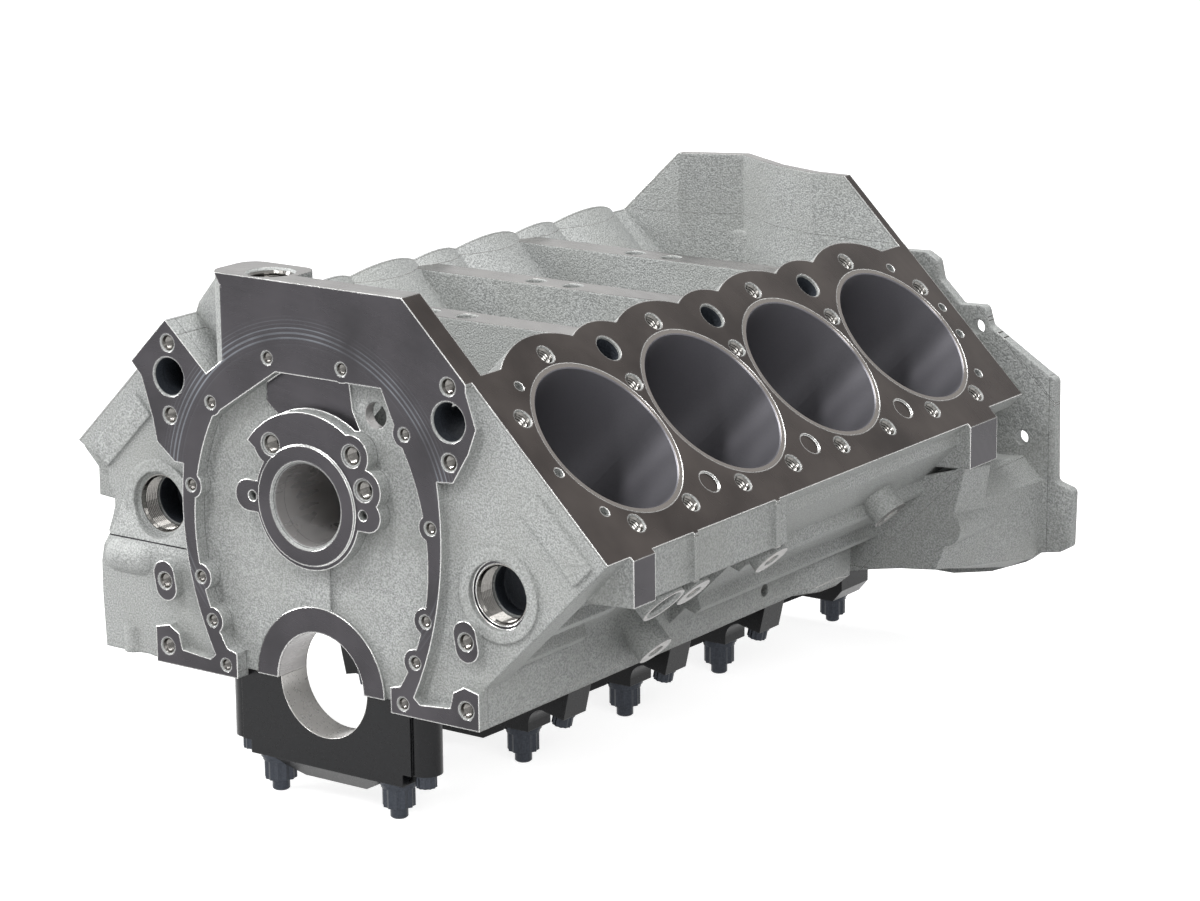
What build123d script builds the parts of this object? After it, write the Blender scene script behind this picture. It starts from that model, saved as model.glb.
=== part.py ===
from build123d import *
import os
from math import sqrt, cos, sin, tan, radians

# Bare engine block with two banks of four cylinders, 90 degrees apart.
# Millimetres. The crankshaft axis is the Y axis, Z is up, and the front of the block looks along -Y.
# Y = 0 is the front face of the front main bearing boss. The left bank leans to +X.

# Cylinders and decks
bore_radius = 50.8
sleeve_wall = 3.4
bore_chamfer = 0.8
bore_pitch = 111.76
bores_per_bank = 4
bank_offset = 22.35
deck_height = 229.24
barrel_foot = 92.0
first_bore = 74.1
bank_end_margin = 75.0
right_face = 7.7
deck_outer = 74.5
deck_rear_outer = 69.0
corner_start = 52.2
corner_end = 77.2
corner_front = 6.2
corner_rear = 38.7
corner_depth = 42.0
deck_slab = 15.0
embed = 3.0
jacket_outer = 66.0
jacket_inner = 62.0
jacket_lobe_radius = 74.6
jacket_lobe_rise = 2.5
bridge_lobe_radius = 50.4
bridge_lobe_rise = 24.0
lobe_depth = 70.0

# Crankcase
main_bore_radius = 33.54
rail_half_width = 126.0
rail_drop = 4.0
recess_half_width = 100.0
web_thickness = 24.0
bay_half_width = 112.0
bay_wall_height = 18.0
bay_roof_height = 80.0
bay_roof_half_width = 50.0
front_main_station = 15.0
rear_main_station = 490.0
rear_web_front = 466.0
seal_radius = 46.0
seal_depth = 14.0

# Camshaft tunnel, lifter bores and valley
cam_height = 114.83
cam_bore_radius = 25.3
cam_bore_chamfer = 2.2
lifter_radius = 10.7
lifter_spread = 20.0
lifter_face = 70.0
lifter_ridge_half = 17.0
valley_floor_rise = 35.2
valley_half_width = 18.0
valley_step = 5.0
valley_ledge = 10.0
tie_drop = 42.4
tie_thickness = 21.0
tie_hole_radius = 6.5
tie_hole_half_pitch = 14.65
tie_hole_depth = 30.0
first_tie = 132.6

# Front plate, timing cover flange and water pump pads
plate_front = 7.0
wall_right = 74.9
wall_thickness = 17.5
wall_left = 68.4
cavity_floor = 10.0
cavity_roof = 193.6
cover_boss_radius = 8.5
cover_hole_radius = 3.6
pump_hole_radius = 4.9
pump_hole_x = 107.5
pump_hole_drops = (48.3, 93.3)
water_port_radius = 11.7
water_port_drop = 69.3
front_hole_depth = 16.0
pump_hole_depth = 32.0
lug_half_width = 8.5
lug_lean = 100.0

# Front face of the camshaft and main bosses
cam_boss_front = 9.1
cam_ring_radius = 37.0
cam_arc_front = 7.6
rib_front = -0.8
rib_half_width = 9.0
pad_height = 1.5
cam_boss_radius = 40.0
cam_face_radius = 57.0
cam_arc_start = 53.0
cam_arc_size = 90.0
gallery_boss_radius = 13.0
gallery_hole_radius = 5.8
gallery_hole_chamfer = 1.4
gallery_hole_depth = 40.0
thrust_tab_half_width = 56.0
thrust_tab_height = 20.0
thrust_hole_x = 42.7
thrust_hole_radius = 3.2
main_boss_radius = 49.5

# Screwed core holes
core_hole_radius = 21.0
core_thread_radius = 18.5
core_rim_radius = 28.5
core_inner_radius = 15.5
core_counterbore = 4.0
core_thread_depth = 18.0
left_core_depth = 27.0
right_core_depth = 35.0
left_core = (137.5, 79.5)
right_core = (-131.5, 93.0)

# Rear flange
flange_front = 511.0
rear_face = 519.0
flange_foot = 28.0
flange_corner = 4.0
rear_wall_thickness = 7.0
rear_wall_root = 20.0
rear_step_depth = 45.0
flange_hole_radius = 5.0
flange_hole_depth = 24.0
flange_holes = [(161.5, 148.8), (196.5, 76.0)]

# Starter housings and rail swellings
housing_front = 405.0
starter_ridge_x = 198.0
starter_ridge_z = 37.0
starter_ridge_radius = 12.5
starter_ridge_length = 62.0
rail_swelling_height = 22.0

# Side walls and front housing
jacket_box_foot = 79.0
jacket_box_root = 170.0
low_ribs = (116.0, 148.0, 182.5)
high_ribs = (122.0, 168.0)
rib_rise = 7.0
rib_foot = 8.0
rib_end = 88.0
rib_crest = 3.0
upright_rib_width = 5.0
upright_rib_height = 2.6
upright_ribs = (88.0, 176.0)
side_wall = 80.0
mount_face = 96.0
mount_hole_radius = 4.8
mount_hole_depth = 22.0
mount_boss_radius = 12.0
knock_boss_radius = 15.0
knock_hole_radius = 10.5
knock_hole_depth = 14.0
knock_chamfer = 2.0
knock_boss = (74, 189)
mount_bosses = [(104, 190), (190, 189), (147, 109), (341, 180)]
side_hole = (299, 8)
side_hole_radius = 4.2
corner_pad_length = 22.0
side_box_length = 146.0
rear_pad_length = 35.0
corner_pad_reach = 2.2
side_box_reach = -1.8
rear_box_reach = -7.8
low_housing_length = 70.0
lump_radius = 12.0
lump_height = 57.0
lump_depth = 7.0
lump_ends = (-163.0, -143.0)
toe_radius = 6.5
toe_x = -154.0
toe_height = 17.0
lap_foot = 64.0
lap_top = 92.0
lap_inner = 103.0
port_x = -38.8
port_y = 11.0
port_boss_x = -46.5
port_boss_y = 13.5
port_boss_width = 55.0
port_boss_depth = 41.0
port_boss_corner = 12.0
port_boss_height = 60.0
port_radius = 14.0
port_depth = 35.0
port_chamfer = 1.6

# Notch beside the front wall, drain and bare plates
slope_start = 0.08
slope_left = 109.8
slope_drop = 32.0
slope_depth = 15.0
drain_x = 45.9
drain_z = 173.9
drain_radius = 8.0
nameplate_height = 1.6
nameplate_foot = 202.0
nameplate_top = 219.0
left_nameplate_start = -15.6
right_nameplate_start = 9.6
nameplate_length = 54.0

# Deck holes
stud_hole_radius = 5.6
stud_hole_depth = 45.0
valley_row = 62.3
middle_row = 27.9
outer_row = 56.5
outer_half_pitch = 27.94
coolant_port_radius = 8.5
coolant_port_s = 54.0
coolant_port_depth = 30.0
plug_recess_radius = 7.5
plug_recess_s = 48.5
plug_recess_depth = 1.2
steam_hole_radius = 3.2
steam_hole_depth = 20.0
steam_holes = [(34, 48), (15, -11), (28, -43), (450, 48), (472, 9), (469, -13), (456, -44)]
hole_chamfer = 0.8
drill_point = 90

# Main caps and their fasteners
cap_inner_half_pitch = 46.7
nut_land_inner = 44.0
nut_land_outer = 59.5
rear_cap_side = 42.0
cap_hole_clearance = 0.3
cap_bottom = 64.5
cap_bottom_half_width = 24.0
nut_seat = 54.0
nut_seat_radius = 13.5
wing_seat = 41.5
cap_foot_half_width = 87.0
splay_angle = 13.0
front_cap_half_width = 66.0
front_cap_face = 3.0
front_cap_bevel = 9.0
front_cap_rear = 27.0
front_bolt_x = 68.1
front_bolt_boss = 10.4
front_bolt_seat = 46.0
stud_radius = 5.55
stud_tip = 78.4
stud_chamfer = 0.9
stud_block_depth = 60.0
nut_radius = 10.2
nut_height = 14.7
nut_flange_height = 2.4
nut_flange_lip = 0.6
nut_points = 12
washer_radius = 12.0
washer_height = 2.0
bolt_radius = 4.75
bolt_head_radius = 6.6
bolt_flange_lip = 1.0
bolt_flange_height = 1.6
bolt_head_height = 9.0
bolt_block_depth = 38.0
splay_seat_x = 79.0
splay_bolt_length = 66.0
hollow_outer = 70.0
hollow_middle = (63, 41)
hollow_foot = 48.5
rear_cap_front = 470.0
rear_cap_bottom = 62.0
rear_cap_half_width = 79.0
rear_nut_seat = 50.5
rear_stud_x = 59.3
rear_stud_tip = 71.0
rear_stud_radius = 4.75
rear_stud_depth = 45.0
rear_nut_radius = 8.8
rear_nut_height = 13.0
rear_washer_radius = 10.4
rear_land_half = 12.4

lean = sqrt(0.5)
deck_top = deck_height / lean
deck_edge = (deck_height + deck_outer) * lean
wall_top = deck_top - wall_right
tie_top = wall_top - tie_drop
valley_floor = cam_height + valley_floor_rise
sleeve_radius = bore_radius + sleeve_wall
bank_front = first_bore - bank_end_margin
bank_rear = first_bore + (bores_per_bank - 1) * bore_pitch + bank_end_margin
right_bank_front = bank_front + bank_offset
right_bank_rear = bank_rear + bank_offset
cavity_floor_y = cavity_floor - plate_front


def station(y):
    """Sketch plane across the block at y, with X to the right and Z up."""
    return Plane(origin=(0, y, 0), x_dir=(1, 0, 0), z_dir=(0, -1, 0))


def bank(u, s):
    """Point of the cross section: u up the bore axis from the crank, s across it toward the valley."""
    return ((u - s) * lean, (u + s) * lean)


def sided(side, points):
    """The same points on one side of the block: 1 is the left bank's side, -1 the right bank's."""
    return [(side * x, z) for x, z in points]


def both(points):
    """Each point and its mirror image across the block."""
    return [(side * x, z) for x, z in points for side in (1, -1)]


def whole(points):
    """Closed outline from its right half, top to bottom."""
    return points + sided(-1, points[::-1])


def deck_plane(side, level=deck_height):
    """Plane parallel to a deck, X along the block and Y toward the valley. side is 1 or -1."""
    return Plane(
        origin=(side * level * lean, 0, level * lean), x_dir=(0, side, 0), z_dir=(side * lean, 0, lean)
    )


def side_face(side):
    """Plane of the mounting bosses, parallel to the bores: X along the block, Y up the bore axis."""
    return Plane(
        origin=(side * mount_face * lean, 0, -mount_face * lean),
        x_dir=(0, side, 0),
        z_dir=(side * lean, 0, -lean),
    )


def bore_stations(side):
    """Y of each bore axis in one bank."""
    start = first_bore if side > 0 else first_bore + bank_offset
    return [start + i * bore_pitch for i in range(bores_per_bank)]


def bridge_stations(side):
    """Y midway between neighbouring bores of one bank."""
    return [y + bore_pitch / 2 for y in bore_stations(side)[:-1]]


def web_stations():
    """Y of the three inner main bearings, midway between neighbouring crank throws."""
    throw = first_bore + bank_offset / 2
    return [throw + (i + 0.5) * bore_pitch for i in range(bores_per_bank - 1)]


def stud_places():
    """X and Y of the main studs in the first four bearings."""
    return [
        (side * cap_inner_half_pitch, y) for y in (front_main_station, *web_stations()) for side in (1, -1)
    ]


def splay_seat(side, y):
    """Plane of a splayed bolt's seat under a cap wing, facing down and inward along the bolt."""
    return Plane(
        origin=(side * splay_seat_x, y, -wing_level(splay_seat_x)),
        x_dir=(0, 1, 0),
        z_dir=(-side * sin(radians(splay_angle)), 0, -cos(radians(splay_angle))),
    )


def wing_level(x):
    """How far a cap wing's underside, square to its bolt, lies below the crank axis at x."""
    return wing_seat - (cap_foot_half_width - x) * tan(radians(splay_angle))


def jacket_box(outer):
    """Section of the box that carries the outer edge of a deck out to the given half width."""
    return [
        bank(deck_height, -jacket_inner),
        (outer, deck_top - outer),
        (outer, jacket_box_foot),
        bank(jacket_box_root, embed - jacket_outer),
    ]


def crest(u, wall, rise):
    """Section of a lengthwise rib whose crest stands off a side wall."""
    return [
        bank(u - rib_foot, embed - wall),
        bank(u - rib_crest, -wall - rise),
        bank(u + rib_crest, -wall - rise),
        bank(u + rib_foot, embed - wall),
    ]


tie_stations = [first_tie + i * bore_pitch for i in range(bores_per_bank - 1)]
web_faces = [
    cavity_floor_y + web_thickness,
    *[y + side * web_thickness / 2 for y in web_stations() for side in (-1, 1)],
    rear_web_front,
]
cap_top_half_width = cap_foot_half_width + wing_seat * tan(radians(splay_angle))
rear_cap_rear = rear_face - seal_depth

# Bottom outlines of the main caps, right half
wing_outline = [
    (cap_top_half_width, 0),
    (cap_foot_half_width, -wing_seat),
    (hollow_outer, -wing_level(hollow_outer)),
]
nut_land = [
    (nut_land_outer, -hollow_foot),
    (nut_land_outer, -nut_seat),
    (nut_land_inner, -nut_seat),
    (cap_bottom_half_width, -cap_bottom),
]
front_cap_half = [
    (front_cap_half_width, 0),
    (front_cap_half_width, -front_bolt_seat),
    (nut_land_outer, -front_bolt_seat),
    (nut_land_outer, -nut_seat),
    (nut_land_inner, -nut_seat),
    (cap_bottom_half_width, -cap_bottom),
]
rear_cap_half = [
    (rear_cap_half_width, 0),
    (rear_cap_half_width, -rear_cap_side),
    (rear_stud_x + rear_land_half, -rear_nut_seat),
    (rear_stud_x - rear_land_half, -rear_nut_seat),
    (cap_bottom_half_width, -rear_cap_bottom),
]

# Cross section of the casting behind the front plate, right half, valley floor outward
lifter_u = cam_height * lean + lifter_face
lifter_s = cam_height * lean
section_half = [
    (valley_half_width, valley_floor),
    (valley_half_width + valley_step, valley_floor + valley_ledge),
    bank(lifter_u, lifter_s + lifter_ridge_half),
    bank(lifter_u, lifter_s - lifter_ridge_half),
    bank(deck_height - lobe_depth, jacket_inner),
    bank(deck_height, jacket_inner),
    bank(deck_height, -deck_outer),
    bank(deck_height - deck_slab, -deck_outer),
    bank(deck_height - deck_slab, -jacket_outer),
    (rail_half_width, rail_half_width - jacket_outer / lean),
    (rail_half_width, -rail_drop),
]

# Left bank end wall, whose outer edge runs straight from the deck to the rail
left_end_wall = [
    (0, -rail_drop),
    (rail_half_width, -rail_drop),
    (rail_half_width, rail_half_width - deck_outer / lean),
    bank(deck_height, -deck_outer),
    bank(deck_height, jacket_inner),
    (0, valley_floor),
]

# Right bank end wall, waisted between the deck corner and the low housing
right_end_wall = [
    (0, -rail_drop),
    (rail_half_width, -rail_drop),
    (156, 34),
    (176.3, 69.7),
    (172.3, 80),
    (170.2, 87),
    (170.6, 95),
    (173.8, 99),
    bank(deck_height - 27.3, -45.3),
    bank(deck_height - 21.7, -44.5),
    bank(deck_height - 13.4, -48.8),
    bank(deck_height - 6.7, -50.5),
    bank(deck_height, -corner_start),
    bank(deck_height, jacket_inner),
    (0, valley_floor),
]

# Low housing under the right bank's front corner
low_housing = [
    (82, -rail_drop),
    (135, -rail_drop),
    (139, -3.4),
    (157, -rail_drop),
    (175, -3.8),
    (176.4, 32),
    (176.1, 52),
    (173.9, 62),
    (169, 72.5),
    (165, 83),
    (163.5, 92),
    (82, 92),
]

# Outline of the front plate: timing cover flange, pump pads and front wall
plate_foot = [
    (rail_half_width, -rail_drop),
    (rail_half_width, 19),
    (115, 21.5),
    (107, 17),
    (104.5, 7),
    (82, 4.9),
    (77.6, 8.5),
]
flange_side = (99.5, 88)
pad_left = [
    (98, 143),
    (110, 144),
    (121.5, wall_top - 86.8),
    (127.5, wall_top - 71.3),
    (120.5, wall_top - 50.3),
    (120.5, deck_top - 120.5),
    (wall_right, wall_top),
]
pad_right = [
    (-wall_left, wall_top),
    (-57, wall_top - 16.3),
    (-44, wall_top - 37.3),
    (-62, wall_top - 52.3),
    (-77, wall_top - 63.3),
    (-deck_top / 2 + 53.3, deck_top / 2 + 53.3),
    (-137.8, deck_top - 137.8),
    (-130, wall_top - 71.3),
    (-122, wall_top - 96.3),
    (-119, wall_top - 111.3),
    (-105, 127),
    (-98, 127),
]
wall_hollow = [
    bank(deck_height, jacket_inner),
    (wall_right, wall_top),
    (wall_right, wall_top + 5),
    (-wall_left - 5, wall_top + 5),
    (-77, wall_top - 63.3),
    (-60, wall_top - 74.3),
    (0, valley_floor),
    bank(deck_height - lobe_depth, jacket_inner),
]

# Outline of the timing cavity, its crown set toward the left bank
cavity_foot = [(60, -rail_drop), (60, 12), (67.5, 14)]
cavity_side = (90, 92)
cavity_top = (72.5, 160.6)
cavity_crown = [(58, cavity_roof), (-22, cavity_roof)]

# Cast slope that closes the notch beside the front wall
notch_foot = Vector(-44, -plate_front, wall_top - 37.3)
notch_top = Vector(-wall_left, -plate_front, wall_top) * (1 - slope_start) + notch_foot * slope_start
slope_top = Vector(-slope_left, right_bank_front, wall_top - slope_drop)
notch_corners = [notch_top, notch_foot, slope_top + notch_foot - notch_top, slope_top]
notch_edge = notch_foot - notch_top
notch_slope = Plane(
    origin=notch_top, x_dir=notch_edge, z_dir=notch_edge.cross(slope_top - notch_top)
)

# Milled pad over the camshaft boss
number_pad = [
    (-30.7, 191.4),
    (-17.3, 192.2),
    (27.5, 192.2),
    (29.5, 175),
    (44, 145),
    (0, 145),
    (-31.6, 168),
    (-36.9, 172.3),
    (-36.4, 183.7),
]

# Plan of the cranked wall that closes the valley at the rear
rear_wall_line = [
    (125, 480.5),
    (49, 480.5),
    (13, 492),
    (-32, 518),
    (-75, 499),
    (-125, 493),
]

# Rear flange, starter housing and rail swelling outlines, right half
flange_half = [
    (98, 195),
    (119, 196),
    (128, 191),
    (131, 178),
    (147, 162.5),
    (166, 163.5),
    (170, 150),
    (212, 124),
    (221, 119),
    (222, 48),
    (236, 44),
    (235, 4),
    (228, 0),
    (212, -3),
    (202, -11),
    (175, -22),
    (145, -flange_foot),
    (60, -flange_foot),
]
housing_front_half = [
    (110, 6),
    (127, -4),
    (140, -1),
    (158, 3),
    (180, 5.5),
    (192, 7),
    (199, 25),
    (206, 50),
    (213.9, 80),
    (150, 60),
]
housing_rear_half = [
    (110, 6),
    (127, -4),
    (131, -25.6),
    (155.6, -23),
    (187, -17),
    (208, -7),
    (215, 10),
    (214, 40),
    (210, 64),
    (150, 60),
]
rail_swelling = [
    (118, 305),
    (122, 324),
    (129, 337),
    (136, 350),
    (137, 368),
    (131, 396),
    (118, 411),
]

# Y from, Y to and half width of each length of the deck's outer edge, in the left bank
box_front = right_bank_front
box_middle = box_front + corner_pad_length
box_rear = box_middle + side_box_length
rear_pad_end = housing_front + rear_pad_length
jacket_boxes = [
    (box_front, box_middle, deck_edge + corner_pad_reach),
    (box_middle, box_rear, deck_edge + side_box_reach),
    (housing_front, rear_pad_end, deck_edge + corner_pad_reach),
]

cover_holes = [
    (28.4, 201.4),
    (74.5, 168.2),
    (92.5, 114.2),
    (87.3, 56.8),
    (79, 30.2),
    (69.2, 3.2),
]
lug_holes = [(117, 49.5), (116.5, 7.5)]
gallery_holes = [(-27.3, cam_height + 33.9), (34.7, cam_height + 35.1), (43.5, cam_height + 15.4)]
pump_holes = [(pump_hole_x, wall_top - drop) for drop in pump_hole_drops]

with BuildPart() as block_casting:
    # banks and skirt
    with BuildSketch(station(right_bank_front)):
        with BuildLine():
            Polyline(*whole(section_half), close=True)
        make_face()
    extrude(amount=right_bank_front - bank_rear)
    for wall_front, wall_outline in (
        (bank_front, left_end_wall),
        (right_face, sided(-1, right_end_wall)),
    ):
        with BuildSketch(station(wall_front)):
            with BuildLine():
                Polyline(*wall_outline, close=True)
            make_face()
        extrude(amount=wall_front - right_bank_front)
    with BuildSketch(station(bank_rear)):
        with BuildLine():
            Polyline(*sided(-1, section_half), (0, -rail_drop), (0, valley_floor), close=True)
        make_face()
    extrude(amount=bank_rear - right_bank_rear)
    with BuildSketch(station(bank_rear)):
        Rectangle(2 * bay_half_width, valley_floor, align=(Align.CENTER, Align.MIN))
    extrude(amount=bank_rear - flange_front)
    for side in (1, -1):
        with BuildSketch(deck_plane(side)):
            with Locations(*[(side * y, jacket_lobe_rise) for y in bore_stations(side)]):
                Circle(jacket_lobe_radius)
            with Locations(*[(side * y, bridge_lobe_rise) for y in bridge_stations(side)]):
                Circle(bridge_lobe_radius)
            with Locations((side * rear_face / 2, 0)):
                Rectangle(
                    2 * rear_face,
                    2 * jacket_lobe_radius,
                    align=(Align.CENTER, Align.MAX),
                    mode=Mode.SUBTRACT,
                )
        extrude(amount=-lobe_depth)

    # front plate, hollowed behind so that the wall over the valley is thinner than the flange and pads
    with BuildSketch(station(-plate_front)):
        with BuildLine():
            Polyline(*plate_foot)
            ThreePointArc(plate_foot[-1], flange_side, pad_left[0])
            Polyline(*pad_left, *pad_right)
            ThreePointArc(pad_right[-1], *sided(-1, [flange_side, plate_foot[-1]]))
            Polyline(*sided(-1, plate_foot[::-1]), plate_foot[0])
        make_face()
    extrude(amount=-plate_front - right_bank_front)
    with BuildSketch(station(wall_thickness - plate_front)):
        with BuildLine():
            Polyline(*wall_hollow, close=True)
        make_face()
    extrude(amount=wall_thickness - plate_front - right_bank_front, mode=Mode.SUBTRACT)
    with BuildSketch(station(0)):
        with BuildLine():
            Polyline(*sided(-1, low_housing), close=True)
        make_face()
    extrude(amount=-low_housing_length)
    with BuildSketch(Plane.YZ.offset(-deck_edge)):
        with BuildLine():
            Polyline(
                (0, lap_foot),
                (right_face, lap_top),
                (-plate_front, lap_top),
                (-plate_front, lap_foot),
                close=True,
            )
        make_face()
    extrude(amount=deck_edge - lap_inner, mode=Mode.SUBTRACT)
    with BuildSketch(Plane.YZ.offset(lump_ends[0])):
        with Locations((lump_depth, lump_height)):
            Circle(lump_radius)
    extrude(amount=lump_ends[1] - lump_ends[0])
    with Locations(*[(x, lump_depth, lump_height) for x in lump_ends]):
        Sphere(lump_radius)
    with BuildSketch(Plane.XY.offset(-rail_drop)):
        with Locations((toe_x, toe_radius / 2)):
            Circle(toe_radius)
    extrude(amount=toe_height)
    with BuildSketch(notch_slope):
        with BuildLine():
            Polyline(*[notch_slope.to_local_coords(corner) for corner in notch_corners], close=True)
        make_face()
    extrude(amount=slope_depth, dir=(0, 1, 0))
    with BuildSketch(Plane.XY.offset(wall_top)):
        with Locations((port_boss_x, port_boss_y)):
            RectangleRounded(port_boss_width, port_boss_depth, port_boss_corner)
    extrude(amount=-port_boss_height)

    # timing cavity, its walls carrying a boss round each cover hole
    with BuildSketch(station(-plate_front)):
        with BuildLine():
            Polyline(*cavity_foot)
            ThreePointArc(cavity_foot[-1], cavity_side, cavity_top)
            Polyline(cavity_top, *cavity_crown, (-cavity_top[0], cavity_top[1]))
            ThreePointArc(*sided(-1, [cavity_top, cavity_side, cavity_foot[-1]]))
            Polyline(*sided(-1, cavity_foot[::-1]), cavity_foot[0])
        make_face()
        with Locations(*both(cover_holes)):
            Circle(cover_boss_radius, mode=Mode.SUBTRACT)
    extrude(amount=-cavity_floor, mode=Mode.SUBTRACT)
    with BuildSketch(station(cavity_floor_y)):
        with BuildLine():
            Polyline(*number_pad, close=True)
        make_face()
    extrude(amount=pad_height)

    # main boss and its rib, camshaft boss with its gallery bosses and thrust plate tabs
    with BuildSketch(station(cavity_floor_y)):
        Circle(main_boss_radius)
        Rectangle(
            3 * main_boss_radius,
            2 * main_boss_radius,
            align=(Align.CENTER, Align.MAX),
            mode=Mode.SUBTRACT,
        )
    extrude(amount=cavity_floor_y)
    with BuildSketch(station(cavity_floor_y)):
        Rectangle(2 * rib_half_width, cam_height, align=(Align.CENTER, Align.MIN))
    extrude(amount=cavity_floor_y + rib_front)
    with BuildSketch(station(cavity_floor_y)):
        with Locations((0, cam_height)):
            Circle(cam_ring_radius)
    extrude(amount=cavity_floor_y + cam_boss_front)
    with BuildSketch(station(cavity_floor_y)):
        with Locations((0, cam_height)):
            Circle(cam_boss_radius)
            SlotOverall(2 * thrust_tab_half_width, thrust_tab_height)
        with BuildLine():
            CenterArc((0, cam_height), cam_face_radius, cam_arc_start, cam_arc_size)
            Line(
                (
                    cam_face_radius * cos(radians(cam_arc_start + cam_arc_size)),
                    cam_height + cam_face_radius * sin(radians(cam_arc_start + cam_arc_size)),
                ),
                (0, cam_height),
            )
            Line(
                (0, cam_height),
                (
                    cam_face_radius * cos(radians(cam_arc_start)),
                    cam_height + cam_face_radius * sin(radians(cam_arc_start)),
                ),
            )
        make_face()
        with Locations(*gallery_holes):
            Circle(gallery_boss_radius)
    extrude(amount=cavity_floor_y + cam_arc_front)
    with BuildSketch(station(-plate_front)):
        with Locations(*both(lug_holes[:1])):
            SlotCenterToCenter(lug_half_width, 2 * lug_half_width, rotation=lug_lean)
    extrude(amount=-plate_front - right_bank_front)

    # rear end: valley wall, flange and starter housings
    with BuildSketch(Plane.XY.offset(valley_floor - rear_wall_root)):
        with BuildLine():
            offset(Polyline(*rear_wall_line), rear_wall_thickness / 2, side=Side.BOTH)
        make_face()
    extrude(amount=wall_top - valley_floor + rear_wall_root)
    with BuildSketch(station(flange_front)) as flange:
        with BuildLine():
            Polyline(*whole(flange_half), close=True)
        make_face()
        fillet(flange.vertices(), flange_corner)
    extrude(amount=flange_front - rear_face)
    for side in (1, -1):
        for housing_y, housing_half in (
            (housing_front, housing_front_half),
            (flange_front, housing_rear_half),
        ):
            with BuildSketch(station(housing_y)):
                with BuildLine():
                    Polyline(*sided(side, housing_half), close=True)
                make_face()
        loft(ruled=True)
        with BuildSketch(station(housing_front)):
            with Locations((side * starter_ridge_x, starter_ridge_z)):
                Circle(starter_ridge_radius)
        extrude(amount=-starter_ridge_length)
        with Locations((side * starter_ridge_x, housing_front + starter_ridge_length, starter_ridge_z)):
            Sphere(starter_ridge_radius)
        with BuildSketch(Plane.XY.offset(-rail_drop)):
            with BuildLine():
                Polyline(*sided(side, rail_swelling), close=True)
            make_face()
        extrude(amount=rail_swelling_height)

    # side walls: boxes under the deck's edge, ribs and mounting bosses
    for side in (1, -1):
        shift = 0 if side > 0 else bank_offset
        for start, end, outer in jacket_boxes:
            with BuildSketch(station(start + shift)):
                with BuildLine():
                    Polyline(*sided(side, jacket_box(outer)), close=True)
                make_face()
            extrude(amount=start - end)
        with BuildSketch(station(box_rear + shift)):
            with BuildLine():
                Polyline(
                    *sided(side, [
                        bank(deck_height, -jacket_inner),
                        (deck_edge + rear_box_reach, deck_top - deck_edge - rear_box_reach),
                        (deck_edge + rear_box_reach, deck_edge + rear_box_reach - side_wall / lean),
                        (rail_half_width, rail_half_width - side_wall / lean),
                        (bay_half_width + embed, rail_half_width - side_wall / lean),
                    ]),
                    close=True,
                )
            make_face()
        extrude(amount=box_rear - housing_front - bank_offset + shift)
        for rib_start, rib_stop, wall, heights in (
            (box_front + shift, rib_end, jacket_outer, low_ribs),
            (box_rear + shift, housing_front, side_wall, high_ribs),
        ):
            with BuildSketch(station(rib_start)):
                for u in heights:
                    with BuildLine():
                        Polyline(*sided(side, crest(u, wall, rib_rise)), close=True)
                    make_face()
            extrude(amount=rib_start - rib_stop)
        with BuildSketch(Plane.XY.offset(jacket_box_foot)):
            with Locations(*[(side * (deck_edge + side_box_reach), y + shift) for y in upright_ribs]):
                Rectangle(2 * upright_rib_height, upright_rib_width)
        extrude(amount=deck_top - deck_edge - jacket_box_foot)
        with BuildSketch(side_face(side)):
            with Locations(*[(side * y, u) for y, u in mount_bosses]):
                Circle(mount_boss_radius)
            with Locations((side * knock_boss[0], knock_boss[1])):
                Circle(knock_boss_radius)
        extrude(amount=jacket_inner - mount_face)
        with BuildSketch(deck_plane(side)):
            with Locations((side * flange_front, -deck_rear_outer)):
                Rectangle(
                    flange_front - rear_pad_end - shift,
                    deck_outer,
                    align=(Align.MAX if side > 0 else Align.MIN, Align.MAX),
                )
        extrude(amount=-rear_step_depth, mode=Mode.SUBTRACT)

    # corner of the right deck, cut back on a slant
    with BuildSketch(deck_plane(-1)):
        with BuildLine():
            Polyline(
                (-corner_front, -corner_start),
                (-corner_rear, -corner_end),
                (-corner_rear, -corner_end - deck_slab),
                (-corner_front, -corner_end - deck_slab),
                close=True,
            )
        make_face()
    extrude(amount=-corner_depth, mode=Mode.SUBTRACT)

    # nothing stands above the decks
    for side in (1, -1):
        with BuildSketch(deck_plane(side)):
            with Locations((side * (flange_front - rear_face), 0)):
                Rectangle(2 * rear_face, 4 * deck_outer)
        extrude(amount=deck_height / 2, mode=Mode.SUBTRACT)

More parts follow.
